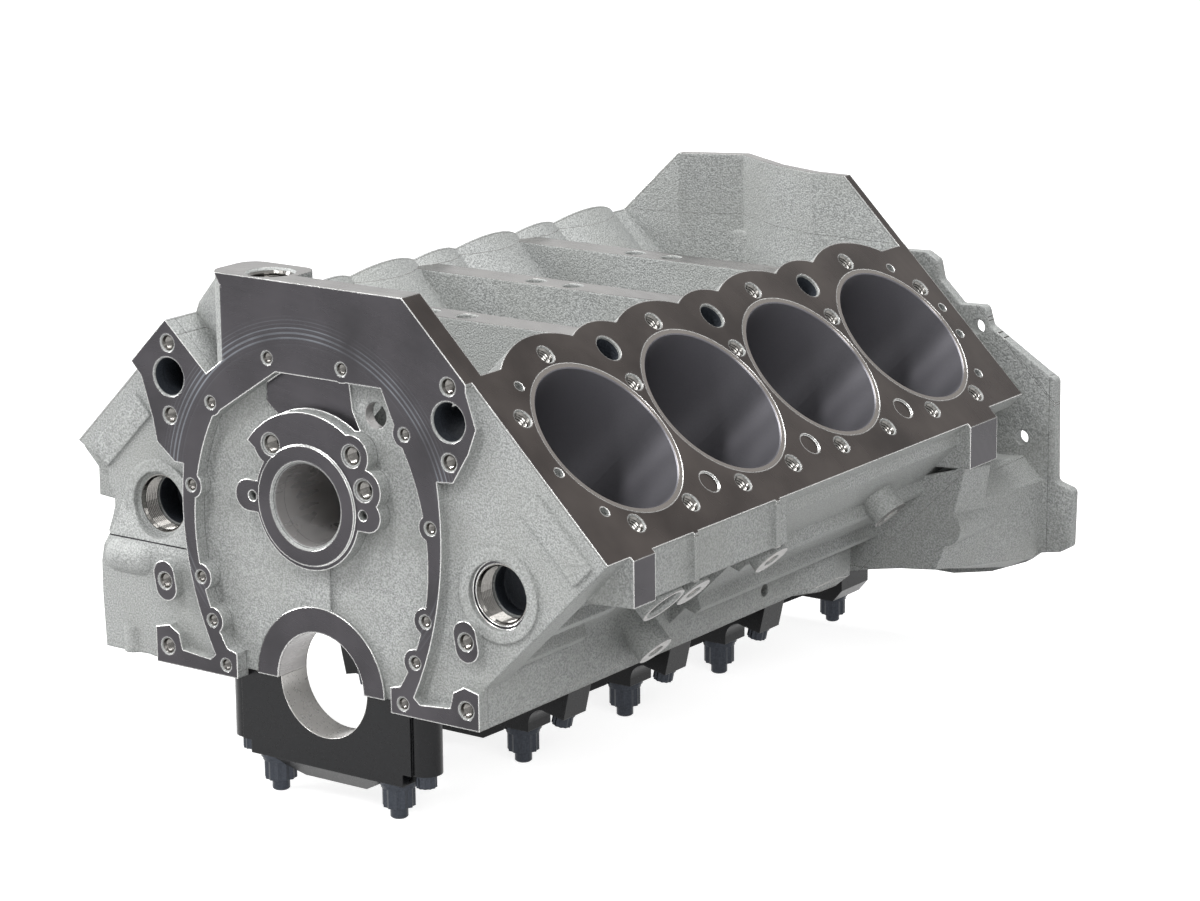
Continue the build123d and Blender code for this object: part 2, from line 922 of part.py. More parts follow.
    # crankcase bays, bearing tunnel and cap recess
    for start, end in zip(web_faces[::2], web_faces[1::2]):
        with BuildSketch(station(start)):
            with BuildLine():
                Polyline(*whole([
                    (bay_roof_half_width, bay_roof_height),
                    (bay_half_width, bay_wall_height),
                    (bay_half_width, -rail_drop),
                ]), close=True)
            make_face()
        extrude(amount=start - end, mode=Mode.SUBTRACT)
    with BuildSketch(station(cavity_floor_y)):
        Rectangle(2 * recess_half_width, 2 * flange_foot, align=(Align.CENTER, Align.MAX))
    extrude(amount=cavity_floor_y - rear_web_front, mode=Mode.SUBTRACT)
    with BuildSketch(station(rear_web_front)):
        Rectangle(2 * rear_cap_half_width, 2 * flange_foot, align=(Align.CENTER, Align.MAX))
    extrude(amount=rear_web_front - rear_face, mode=Mode.SUBTRACT)
    with BuildSketch(station(-cam_boss_front)):
        Circle(main_bore_radius)
    extrude(amount=-cam_boss_front - rear_face, mode=Mode.SUBTRACT)
    with Locations(station(-cam_boss_front)):
        with Locations((0, cam_height)):
            CounterSinkHole(
                cam_bore_radius,
                cam_bore_radius + cam_bore_chamfer,
                cam_boss_front + rear_face,
                drill_point,
            )
    with BuildSketch(station(rear_face)):
        Circle(seal_radius)
    extrude(amount=seal_depth, mode=Mode.SUBTRACT)

    # tie walls across the valley
    for y in tie_stations:
        with BuildSketch(station(y - tie_thickness / 2)):
            with BuildLine():
                Polyline(*whole([
                    (deck_top - tie_top - embed, tie_top),
                    bank(deck_height - lobe_depth, jacket_inner - 2 * embed),
                    (valley_half_width, valley_floor - embed),
                ]), close=True)
            make_face()
        extrude(amount=-tie_thickness)
        with Locations(*[(side * tie_hole_half_pitch, y, tie_top) for side in (1, -1)]):
            CounterSinkHole(
                tie_hole_radius, tie_hole_radius + hole_chamfer, tie_hole_depth, drill_point
            )

    # cylinder barrels, lifter bores and deck holes
    for side in (1, -1):
        shift = 0 if side > 0 else bank_offset
        with BuildSketch(deck_plane(side)):
            with Locations(*[(side * y, 0) for y in bore_stations(side)]):
                Circle(sleeve_radius)
        extrude(amount=barrel_foot - deck_height, mode=Mode.SUBTRACT)
        with BuildSketch(deck_plane(side, lifter_u)):
            with Locations(*[
                (side * (y + spread), lifter_s)
                for y in bore_stations(side) for spread in (-lifter_spread, lifter_spread)
            ]):
                Circle(lifter_radius)
        extrude(amount=-lifter_face, mode=Mode.SUBTRACT)
        stations = bore_stations(side)
        bolt_places = [(y, valley_row) for y in stations]
        bolt_places += [(y - bore_pitch / 2, middle_row) for y in stations]
        bolt_places += [(stations[-1] + bore_pitch / 2, middle_row)]
        bolt_places += [
            (y + half * outer_half_pitch, -outer_row) for y in stations for half in (-1, 1)
        ]
        with Locations(deck_plane(side)):
            with Locations(*[(side * y, s) for y, s in bolt_places]):
                CounterSinkHole(
                    stud_hole_radius, stud_hole_radius + hole_chamfer, stud_hole_depth, drill_point
                )
            with Locations(*[(side * y, coolant_port_s) for y in bridge_stations(side)]):
                CounterSinkHole(
                    coolant_port_radius,
                    coolant_port_radius + hole_chamfer,
                    coolant_port_depth,
                    drill_point,
                )
            with Locations(*[(side * y, -plug_recess_s) for y in bridge_stations(side)]):
                Hole(plug_recess_radius, plug_recess_depth)
            with Locations(*[(side * (y + shift), s) for y, s in steam_holes]):
                Hole(steam_hole_radius, steam_hole_depth)

    # front holes
    with Locations(station(-plate_front)):
        with Locations(*both(cover_holes)):
            CounterSinkHole(
                cover_hole_radius, cover_hole_radius + hole_chamfer, front_hole_depth, drill_point
            )
        with Locations(*both(lug_holes)):
            CounterSinkHole(
                pump_hole_radius, pump_hole_radius + hole_chamfer, front_hole_depth, drill_point
            )
        with Locations(*both(pump_holes)):
            CounterSinkHole(
                pump_hole_radius, pump_hole_radius + hole_chamfer, pump_hole_depth, drill_point
            )
        with Locations(*both([(pump_hole_x, wall_top - water_port_drop)])):
            CounterSinkHole(
                water_port_radius, water_port_radius + hole_chamfer, pump_hole_depth, drill_point
            )
    with Locations(station(-cam_arc_front)):
        with Locations(*gallery_holes):
            CounterSinkHole(
                gallery_hole_radius,
                gallery_hole_radius + gallery_hole_chamfer,
                gallery_hole_depth,
                drill_point,
            )
        with Locations(*both([(thrust_hole_x, cam_height)])):
            Hole(thrust_hole_radius, front_hole_depth)
    with Locations(station(cavity_floor_y)):
        with Locations((drain_x, drain_z)):
            Hole(drain_radius, wall_thickness)
    with Locations((port_x, port_y, wall_top)):
        CounterSinkHole(port_radius, port_radius + port_chamfer, port_depth, drill_point)

    # bare plates and screwed core holes on the bank fronts
    for side, face_y, plate_start, core, core_depth in (
        (1, bank_front, left_nameplate_start, left_core, left_core_depth),
        (-1, right_face, right_nameplate_start, right_core, right_core_depth),
    ):
        with BuildSketch(station(face_y)):
            with BuildLine():
                Polyline(
                    *sided(side, [
                        bank(nameplate_foot, plate_start),
                        bank(nameplate_top, plate_start),
                        bank(nameplate_top, plate_start - nameplate_length),
                        bank(nameplate_foot, plate_start - nameplate_length),
                    ]),
                    close=True,
                )
            make_face()
            with Locations(core):
                Circle(core_rim_radius)
        extrude(amount=nameplate_height)
        with Locations(station(face_y - nameplate_height)):
            with Locations(core):
                CounterBoreHole(
                    core_thread_radius, core_hole_radius, core_counterbore, core_thread_depth
                )
                Hole(core_inner_radius, core_depth)

    # side and rear holes
    for side in (1, -1):
        with Locations(side_face(side)):
            with Locations(*[(side * y, u) for y, u in mount_bosses]):
                CounterSinkHole(
                    mount_hole_radius, mount_hole_radius + hole_chamfer, mount_hole_depth, drill_point
                )
            with Locations((side * knock_boss[0], knock_boss[1])):
                CounterSinkHole(
                    knock_hole_radius, knock_hole_radius + knock_chamfer, knock_hole_depth, drill_point
                )
        with Locations(
            Plane(origin=(side * rail_half_width, *side_hole), x_dir=(0, side, 0), z_dir=(side, 0, 0))
        ):
            Hole(side_hole_radius, rail_half_width - bay_half_width)
    with BuildSketch(station(rear_face)):
        with Locations(*both(flange_holes)):
            Circle(flange_hole_radius)
    extrude(amount=flange_hole_depth, mode=Mode.SUBTRACT)

    # threaded holes of the main cap fasteners
    with Locations(Plane.XY.rotated((180, 0, 0))):
        with Locations(*[(x, -y) for x, y in stud_places()]):
            Hole(stud_radius, stud_block_depth)
        with Locations(*[(side * front_bolt_x, -front_main_station) for side in (1, -1)]):
            Hole(bolt_radius, bolt_block_depth)
        with Locations(*[(side * rear_stud_x, -rear_main_station) for side in (1, -1)]):
            Hole(rear_stud_radius, rear_stud_depth)
    for y in web_stations():
        for side in (1, -1):
            with Locations(splay_seat(side, y)):
                Hole(bolt_radius, splay_bolt_length)

os.makedirs("parts", exist_ok=True)
block_casting.part.label = "block_casting"
export_step(block_casting.part, "parts/block_casting.step")

# Cylinder sleeves, odd numbers in the left bank and even numbers in the right
for side, first_number in ((1, 1), (-1, 2)):
    for i, y in enumerate(bore_stations(side)):
        with BuildPart() as cylinder_sleeve:
            with BuildSketch(deck_plane(side)):
                with Locations((side * y, 0)):
                    Circle(sleeve_radius)
                    Circle(bore_radius, mode=Mode.SUBTRACT)
            extrude(amount=barrel_foot - deck_height)
            ends = cylinder_sleeve.edges().filter_by(GeomType.CIRCLE).sort_by(SortBy.RADIUS)[:2]
            chamfer(ends, bore_chamfer)
        cylinder_sleeve.part.label = f"cylinder_sleeve_{first_number + 2 * i}"
        export_step(cylinder_sleeve.part, f"parts/{cylinder_sleeve.part.label}.step")

# Main caps. The front one is a flat-faced block with a round bolt post at each side.
with BuildPart() as front_cap:
    with BuildSketch(station(front_cap_face)):
        with BuildLine():
            Polyline(*whole(front_cap_half), close=True)
        make_face()
    extrude(amount=front_cap_face - front_cap_rear)
    with BuildSketch(Plane.YZ):
        with BuildLine():
            Polyline(
                (front_cap_face, -nut_seat),
                (front_cap_face + front_cap_bevel, -cap_bottom),
                (front_cap_face, -cap_bottom),
                close=True,
            )
        make_face()
    extrude(amount=nut_land_inner, both=True, mode=Mode.SUBTRACT)
    with BuildSketch(Plane.XY):
        with Locations(*[(side * front_bolt_x, front_main_station) for side in (1, -1)]):
            Circle(front_bolt_boss)
    extrude(amount=-front_bolt_seat)
    with BuildSketch(Plane.XY.offset(-nut_seat)):
        with Locations(*[(side * cap_inner_half_pitch, front_main_station) for side in (1, -1)]):
            Circle(nut_seat_radius)
    extrude(amount=nut_seat - cap_bottom, mode=Mode.SUBTRACT)
    with BuildSketch(station(front_cap_face)):
        Circle(main_bore_radius)
    extrude(amount=front_cap_face - front_cap_rear, mode=Mode.SUBTRACT)
    with Locations(*[(side * cap_inner_half_pitch, front_main_station) for side in (1, -1)]):
        Hole(stud_radius + cap_hole_clearance, stud_tip)
    with Locations(*[(side * front_bolt_x, front_main_station) for side in (1, -1)]):
        Hole(bolt_radius + cap_hole_clearance, stud_tip)
front_cap.part.label = "main_cap_1"
export_step(front_cap.part, "parts/main_cap_1.step")

for number, y in enumerate(web_stations(), 2):
    with BuildPart() as main_cap:
        with BuildSketch(station(y - web_thickness / 2)):
            with BuildLine():
                for side in (1, -1):
                    Polyline(*sided(side, wing_outline))
                    ThreePointArc(
                        *sided(side, [wing_outline[-1], (hollow_middle[0], -hollow_middle[1]), nut_land[0]])
                    )
                    Polyline(*sided(side, nut_land))
                Line((-cap_bottom_half_width, -cap_bottom), (cap_bottom_half_width, -cap_bottom))
                Line((-cap_top_half_width, 0), (cap_top_half_width, 0))
            make_face()
            Circle(main_bore_radius, mode=Mode.SUBTRACT)
        extrude(amount=-web_thickness)
        with BuildSketch(Plane.XY.offset(-nut_seat)):
            with Locations(*[(side * cap_inner_half_pitch, y) for side in (1, -1)]):
                Circle(nut_seat_radius)
        extrude(amount=nut_seat - cap_bottom, mode=Mode.SUBTRACT)
        with Locations(*[(side * cap_inner_half_pitch, y) for side in (1, -1)]):
            Hole(stud_radius + cap_hole_clearance, nut_seat)
        with Locations(splay_seat(1, y), splay_seat(-1, y)):
            Hole(bolt_radius + cap_hole_clearance, splay_bolt_length)
    main_cap.part.label = f"main_cap_{number}"
    export_step(main_cap.part, f"parts/{main_cap.part.label}.step")

with BuildPart() as rear_cap:
    with BuildSketch(station(rear_cap_front)):
        with BuildLine():
            Polyline(*whole(rear_cap_half), close=True)
        make_face()
        Circle(main_bore_radius, mode=Mode.SUBTRACT)
    extrude(amount=rear_cap_front - rear_cap_rear)
    with Locations(*[(side * rear_stud_x, rear_main_station) for side in (1, -1)]):
        Hole(rear_stud_radius + cap_hole_clearance, rear_nut_seat)
rear_cap.part.label = "main_cap_5"
export_step(rear_cap.part, "parts/main_cap_5.step")

# Main studs with their washers and nuts, two at each bearing
inner_studs = (cap_inner_half_pitch, stud_radius, nut_seat, stud_tip, stud_block_depth)
rear_studs = (rear_stud_x, rear_stud_radius, rear_nut_seat, rear_stud_tip, rear_stud_depth)
inner_nuts = (nut_radius, nut_height, washer_radius)
rear_nuts = (rear_nut_radius, rear_nut_height, rear_washer_radius)
stud_sets = [(y, inner_studs, inner_nuts) for y in (front_main_station, *web_stations())]
stud_sets += [(rear_main_station, rear_studs, rear_nuts)]
for number, (y, stud_sizes, nut_sizes) in enumerate(stud_sets, 1):
    x, shank, seat, tip, depth = stud_sizes
    corner, height, rim = nut_sizes
    places = [(x, y), (-x, y)]
    with BuildPart() as main_studs:
        with BuildSketch(Plane.XY.offset(-tip)):
            with Locations(*places):
                Circle(shank)
        extrude(amount=tip + depth)
        chamfer(main_studs.edges().group_by(Axis.Z)[0], stud_chamfer)
    main_studs.part.label = f"main_studs_{number}"
    export_step(main_studs.part, f"parts/{main_studs.part.label}.step")

    with BuildPart() as main_washers:
        with BuildSketch(Plane.XY.offset(-seat)):
            with Locations(*places):
                Circle(rim)
                Circle(shank + cap_hole_clearance, mode=Mode.SUBTRACT)
        extrude(amount=-washer_height)
    main_washers.part.label = f"main_washers_{number}"
    export_step(main_washers.part, f"parts/{main_washers.part.label}.step")

    with BuildPart() as main_nuts:
        with BuildSketch(Plane.XY.offset(-seat - washer_height)):
            with Locations(*places):
                Circle(corner + nut_flange_lip)
        extrude(amount=-nut_flange_height)
        with BuildSketch(Plane.XY.offset(-seat - washer_height)):
            with Locations(*places):
                RegularPolygon(corner, nut_points // 2)
                RegularPolygon(corner, nut_points // 2, rotation=360 / nut_points)
        extrude(amount=-height)
        with Locations(*[(px, py, -seat) for px, py in places]):
            Hole(shank, washer_height + height)
    main_nuts.part.label = f"main_nuts_{number}"
    export_step(main_nuts.part, f"parts/{main_nuts.part.label}.step")

# Outer cap bolts: straight in the front cap, splayed in the next three
front_seats = [
    Plane(
        origin=(side * front_bolt_x, front_main_station, -front_bolt_seat),
        x_dir=(0, 1, 0),
        z_dir=(0, 0, -1),
    )
    for side in (1, -1)
]
bolt_sets = [(front_seats, front_bolt_seat + bolt_block_depth)]
bolt_sets += [([splay_seat(1, y), splay_seat(-1, y)], splay_bolt_length) for y in web_stations()]
for number, (seats, length) in enumerate(bolt_sets, 1):
    with BuildPart() as outer_bolts:
        for seat in seats:
            with BuildSketch(seat):
                Circle(bolt_radius)
            extrude(amount=-length)
            with BuildSketch(seat):
                Circle(bolt_head_radius + bolt_flange_lip)
            extrude(amount=bolt_flange_height)
            with BuildSketch(seat):
                RegularPolygon(bolt_head_radius, nut_points // 2)
                RegularPolygon(bolt_head_radius, nut_points // 2, rotation=360 / nut_points)
            extrude(amount=bolt_head_height)
    outer_bolts.part.label = f"outer_bolts_{number}"
    export_step(outer_bolts.part, f"parts/{outer_bolts.part.label}.step")
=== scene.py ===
import math

import bpy
import numpy as np
from mathutils import Matrix, Vector


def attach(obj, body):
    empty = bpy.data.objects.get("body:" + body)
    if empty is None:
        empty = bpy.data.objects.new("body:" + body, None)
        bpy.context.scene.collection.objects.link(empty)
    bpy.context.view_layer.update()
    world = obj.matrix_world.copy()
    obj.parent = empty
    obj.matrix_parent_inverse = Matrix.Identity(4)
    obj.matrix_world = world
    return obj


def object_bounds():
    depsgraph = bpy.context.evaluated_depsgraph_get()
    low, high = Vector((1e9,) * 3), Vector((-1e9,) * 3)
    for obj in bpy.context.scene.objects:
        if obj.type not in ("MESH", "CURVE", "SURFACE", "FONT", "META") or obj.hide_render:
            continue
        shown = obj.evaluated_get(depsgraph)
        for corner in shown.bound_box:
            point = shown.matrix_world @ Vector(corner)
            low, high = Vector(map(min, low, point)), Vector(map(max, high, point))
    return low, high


# Bare V engine block: sand-cast aluminium with milled faces, iron sleeves, black steel main caps.
# Metres. The crankshaft axis is the Y axis, Z is up, and the front of the block looks along -Y.
MM = 0.001

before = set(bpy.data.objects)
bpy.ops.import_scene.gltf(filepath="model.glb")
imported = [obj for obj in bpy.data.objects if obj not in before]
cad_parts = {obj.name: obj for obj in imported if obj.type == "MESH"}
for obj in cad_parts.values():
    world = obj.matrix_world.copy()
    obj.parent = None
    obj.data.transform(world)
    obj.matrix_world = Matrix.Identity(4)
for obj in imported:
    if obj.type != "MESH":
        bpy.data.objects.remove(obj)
cad_low, cad_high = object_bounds()

# Camera: place, aim and focal length fitted to the photograph, whose frame is 1200 x 901
photo_width = 1200
camera_place = Vector((1373.24, -1626.53, 678.13)) * MM
camera_azimuth = 0.621
camera_elevation = 0.246
camera_roll = -0.010
focal_pixels = 3674.7
sensor_width = 36.0
nearest_seen = 0.05
farthest_seen = 50

# Lamps, in metres and watts: place, side and power, all turned to one point in the block
lamp_aim = Vector((0, 0.25, 0.1))
lamps = [
    ("key_light", (-0.5, -2.8, 4.0), 0.5, 85),
    ("soft_light", (-1.2, -3.4, 3.0), 2.0, 50),
    ("right_light", (2.9, -2.0, 2.5), 1.6, 95),
    ("top_light", (-0.2, 0.3, 3.6), 2.0, 140),
    ("left_light", (-3.2, -1.2, 1.6), 1.4, 110),
]
room_light = 0.18
floor_glow = 0.85
floor_reach = 6.0

# Sizes shared with the solids, in millimetres
lean = math.sqrt(0.5)
deck_height = 229.24
plug_recess = 1.2
bore_pitch = 111.76
first_bore = 74.1
bank_offset = 22.35
bores_per_bank = 4
plate_front = -7.0
cam_height = 114.83
cam_bore_radius = 25.3
cam_boss_front = -9.1
cam_arc_front = -7.6
number_pad_front = 1.5
main_bore_radius = 33.54
main_boss_reach = 50.5
rear_face = 519.0
wall_top = 249.3
tie_top = 206.9
rail_bottom = -4.0
rear_pad_x = 217.0
mount_face = 96.0
bank_front = -0.9
right_face = 7.7
core_plate_height = 1.6
coolant_port_s = 54.0
coolant_port_radius = 8.5
water_port_x = 107.5
water_port_z = 180.0
drain = (45.9, 173.9)
drain_radius = 8.0
left_core = (137.5, 79.5)
right_core = (-131.5, 93.0)

# Threaded holes. Deck rows: place across the deck. Side bosses: along the block and up the bank.
valley_row = 62.3
middle_row = 27.9
outer_row = -56.5
side_bosses = [(104, 190), (190, 189), (147, 109), (341, 180)]
# Front holes: across and up. Gallery holes count up from the camshaft axis, pump holes down from the top.
cover_holes = [(28.4, 201.4), (74.5, 168.2), (92.5, 114.2), (87.3, 56.8), (79, 30.2), (69.2, 3.2)]
lug_holes = [(117, 49.5), (116.5, 7.5)]
pump_drops = [48.3, 93.3]
gallery_holes = [(-27.3, 33.9), (34.7, 35.1), (43.5, 15.4)]
# Port on top of the front wall: across and along the block
top_port = (-38.8, 11.0)
# Threads: points round a turn, share of the radius that the roots stand inside the hole, height as a
# share of the pitch, and how far the outer wall stands outside the hole
thread_points = 28
thread_inset = 0.03
thread_height = 0.55
thread_wall = 0.15

# Milled faces of the casting: the direction across each, with X made positive, and its level. One bare
# metal, painted dark on the decks and front faces and light on the bright faces, as painted reflections
deck_faces = [((lean, 0, lean), deck_height), ((lean, 0, lean), deck_height - plug_recess)]
front_faces = [
    ((0, -1, 0), -plate_front),
    ((0, -1, 0), -cam_boss_front),
    ((0, -1, 0), -cam_arc_front),
    ((0, -1, 0), -number_pad_front),
    ((0, 1, 0), rear_face),
    ((1, 0, 0), rear_pad_x),
]
bright_faces = [
    ((0, 0, 1), wall_top),
    ((0, 0, 1), tie_top),
    ((0, 0, -1), -rail_bottom),
    ((0, 0, 1), 0.0),
    ((lean, 0, -lean), mount_face),
]
face_slack = 0.12
# Turned bores of the casting: place of the axis across and up, and radius
turned_bores = [
    ((0.0, 0.0), main_bore_radius),
    ((0.0, cam_height), cam_bore_radius),
    (drain, drain_radius),
]
bore_slack = 0.15
# Openings into the water jacket, painted dark inside as their shade: axis across and up, radius with a
# little to spare, and where the painted shade begins along the block
jacket_openings = [
    ((water_port_x, water_port_z), 12.0, -5.5),
    ((-water_port_x, water_port_z), 12.0, -5.5),
    (left_core, 15.7, 6.0),
    (right_core, 15.7, 14.0),
]
jacket_shade_length = 40.0
# Coolant ports, painted dark inside as their shade: the depths below the deck between which the painted
# shade lies, and the slack round their wall
coolant_shade_start = 2.0
coolant_shade_end = 32.0
coolant_slack = 0.2
# Bright arcs on the front plate, tool marks painted as a highlight: height of their centre, the radii where
# they fade in and out, and the heights between which they grow clear
arc_centre_z = 112.0
arc_fade_in = (98.0, 108.0)
arc_fade_out = (118.0, 110.0)
arc_heights = (30.0, 90.0)


def linear(code):
    """Linear colour with alpha of an sRGB hex code."""
    values = [int(code[i:i + 2], 16) / 255 for i in (1, 3, 5)]
    return (*[v / 12.92 if v <= 0.04045 else ((v + 0.055) / 1.055) ** 2.4 for v in values], 1.0)


def add(tree, kind, inputs, **settings):
    """Adds a node with its settings, links or sets its inputs, and returns the outputs in use."""
    item = tree.nodes.new(kind)
    for name, value in settings.items():
        setattr(item, name, value)
    ways = [socket for socket in item.inputs if socket.enabled]
    for key, value in inputs.items():
        way = ways[key] if isinstance(key, int) else next(w for w in ways if w.name == key)
        if isinstance(value, bpy.types.NodeSocket):
            tree.links.new(value, way)
        else:
            way.default_value = value
    return [socket for socket in item.outputs if socket.enabled]


def node_material(name):
    """Empty node material and its tree."""
    material = bpy.data.materials.new(name)
    material.use_nodes = True
    material.node_tree.nodes.clear()
    return material, material.node_tree


def faces_mask(tree, half, faces):
    """One on the given milled faces, from the place with its X made positive."""
    mask = 0.0
    for direction, level in faces:
        reach = add(tree, "ShaderNodeVectorMath", {0: half, 1: direction}, operation="DOT_PRODUCT")[0]
        near, = add(tree, "ShaderNodeMath", {0: reach, 1: level * MM, 2: face_slack * MM},
                    operation="COMPARE")
        mask, = add(tree, "ShaderNodeMath", {0: near, 1: mask}, operation="MAXIMUM")
    return mask


def bores_mask(tree, flat):
    """One on the walls of the turned bores, from the place without its Y."""
    mask = 0.0
    for (x, z), radius in turned_bores:
        axis = (x * MM, 0, z * MM)
        reach = add(tree, "ShaderNodeVectorMath", {0: flat, 1: axis}, operation="DISTANCE")[0]
        near, = add(tree, "ShaderNodeMath", {0: reach, 1: radius * MM, 2: bore_slack * MM},
                    operation="COMPARE")
        mask, = add(tree, "ShaderNodeMath", {0: near, 1: mask}, operation="MAXIMUM")
    return mask


def jacket_shade_mask(tree, flat, y):
    """One where the front openings of the water jacket are painted dark as shade, behind their rims."""
    mask = 0.0
    half_length = jacket_shade_length / 2
    for (x, z), radius, depth in jacket_openings:
        axis = (x * MM, 0, z * MM)
        reach = add(tree, "ShaderNodeVectorMath", {0: flat, 1: axis}, operation="DISTANCE")[0]
        inside, = add(tree, "ShaderNodeMath", {0: reach, 1: radius * MM}, operation="LESS_THAN")
        behind, = add(tree, "ShaderNodeMath", {
            0: y, 1: (depth + half_length) * MM, 2: half_length * MM,
        }, operation="COMPARE")
        behind, = add(tree, "ShaderNodeMath", {0: behind, 1: inside}, operation="MULTIPLY")
        mask, = add(tree, "ShaderNodeMath", {0: behind, 1: mask}, operation="MAXIMUM")
    return mask


def coolant_shade_mask(tree, x, y, half):
    """One where the coolant ports of the decks are painted dark as shade, one port to each bridge between
    bores.
    """
    right, = add(tree, "ShaderNodeMath", {0: x, 1: 0.0}, operation="LESS_THAN")
    along, = add(tree, "ShaderNodeMath", {0: right, 1: -bank_offset * MM, 2: y}, operation="MULTIPLY_ADD")
    last_bore = first_bore + (bores_per_bank - 1) * bore_pitch
    within, = add(tree, "ShaderNodeMath", {0: along, 1: last_bore * MM}, operation="LESS_THAN")
    along, = add(tree, "ShaderNodeMath", {
        0: along, 1: (first_bore + bore_pitch) * MM, 2: first_bore * MM,
    }, operation="WRAP")
    up = add(tree, "ShaderNodeVectorMath", {0: half, 1: (lean, 0, lean)}, operation="DOT_PRODUCT")[0]
    inward = add(tree, "ShaderNodeVectorMath", {0: half, 1: (-lean, 0, lean)}, operation="DOT_PRODUCT")[0]
    spot, = add(tree, "ShaderNodeCombineXYZ", {0: along, 1: inward})
    axis = ((first_bore + bore_pitch / 2) * MM, coolant_port_s * MM, 0)
    reach = add(tree, "ShaderNodeVectorMath", {0: spot, 1: axis}, operation="DISTANCE")[0]
    radius = (coolant_port_radius + coolant_slack) * MM
    inside, = add(tree, "ShaderNodeMath", {0: reach, 1: radius}, operation="LESS_THAN")
    middle = deck_height - (coolant_shade_start + coolant_shade_end) / 2
    half_length = (coolant_shade_end - coolant_shade_start) / 2
    below, = add(tree, "ShaderNodeMath", {0: up, 1: middle * MM, 2: half_length * MM}, operation="COMPARE")
    below, = add(tree, "ShaderNodeMath", {0: below, 1: inside}, operation="MULTIPLY")
    return add(tree, "ShaderNodeMath", {0: below, 1: within}, operation="MULTIPLY")[0]


def tool_arc_highlight(tree, flat, z, marks):
    """Thin arcs of painted highlight on the tool marks round the timing cavity, 1.5 mm apart, on a band that
    fades out on both sides.
    """
    centre = (0, 0, arc_centre_z * MM)
    swing = add(tree, "ShaderNodeVectorMath", {0: flat, 1: centre}, operation="DISTANCE")[0]
    ring, = add(tree, "ShaderNodeCombineXYZ", {0: swing})
    arcs = add(tree, "ShaderNodeTexNoise", {"Vector": ring, "Scale": 1 / (1.5 * MM), "Detail": 2.0})[0]
    arcs, = add(tree, "ShaderNodeMapRange", {0: arcs, 1: 0.5, 2: 0.75})
    for value, (low, high) in ((swing, arc_fade_in), (swing, arc_fade_out), (z, arc_heights)):
        fade, = add(tree, "ShaderNodeMapRange", {0: value, 1: low * MM, 2: high * MM})
        arcs, = add(tree, "ShaderNodeMath", {0: arcs, 1: fade}, operation="MULTIPLY")
    return add(tree, "ShaderNodeMath", {0: arcs, 1: marks}, operation="MULTIPLY")[0]


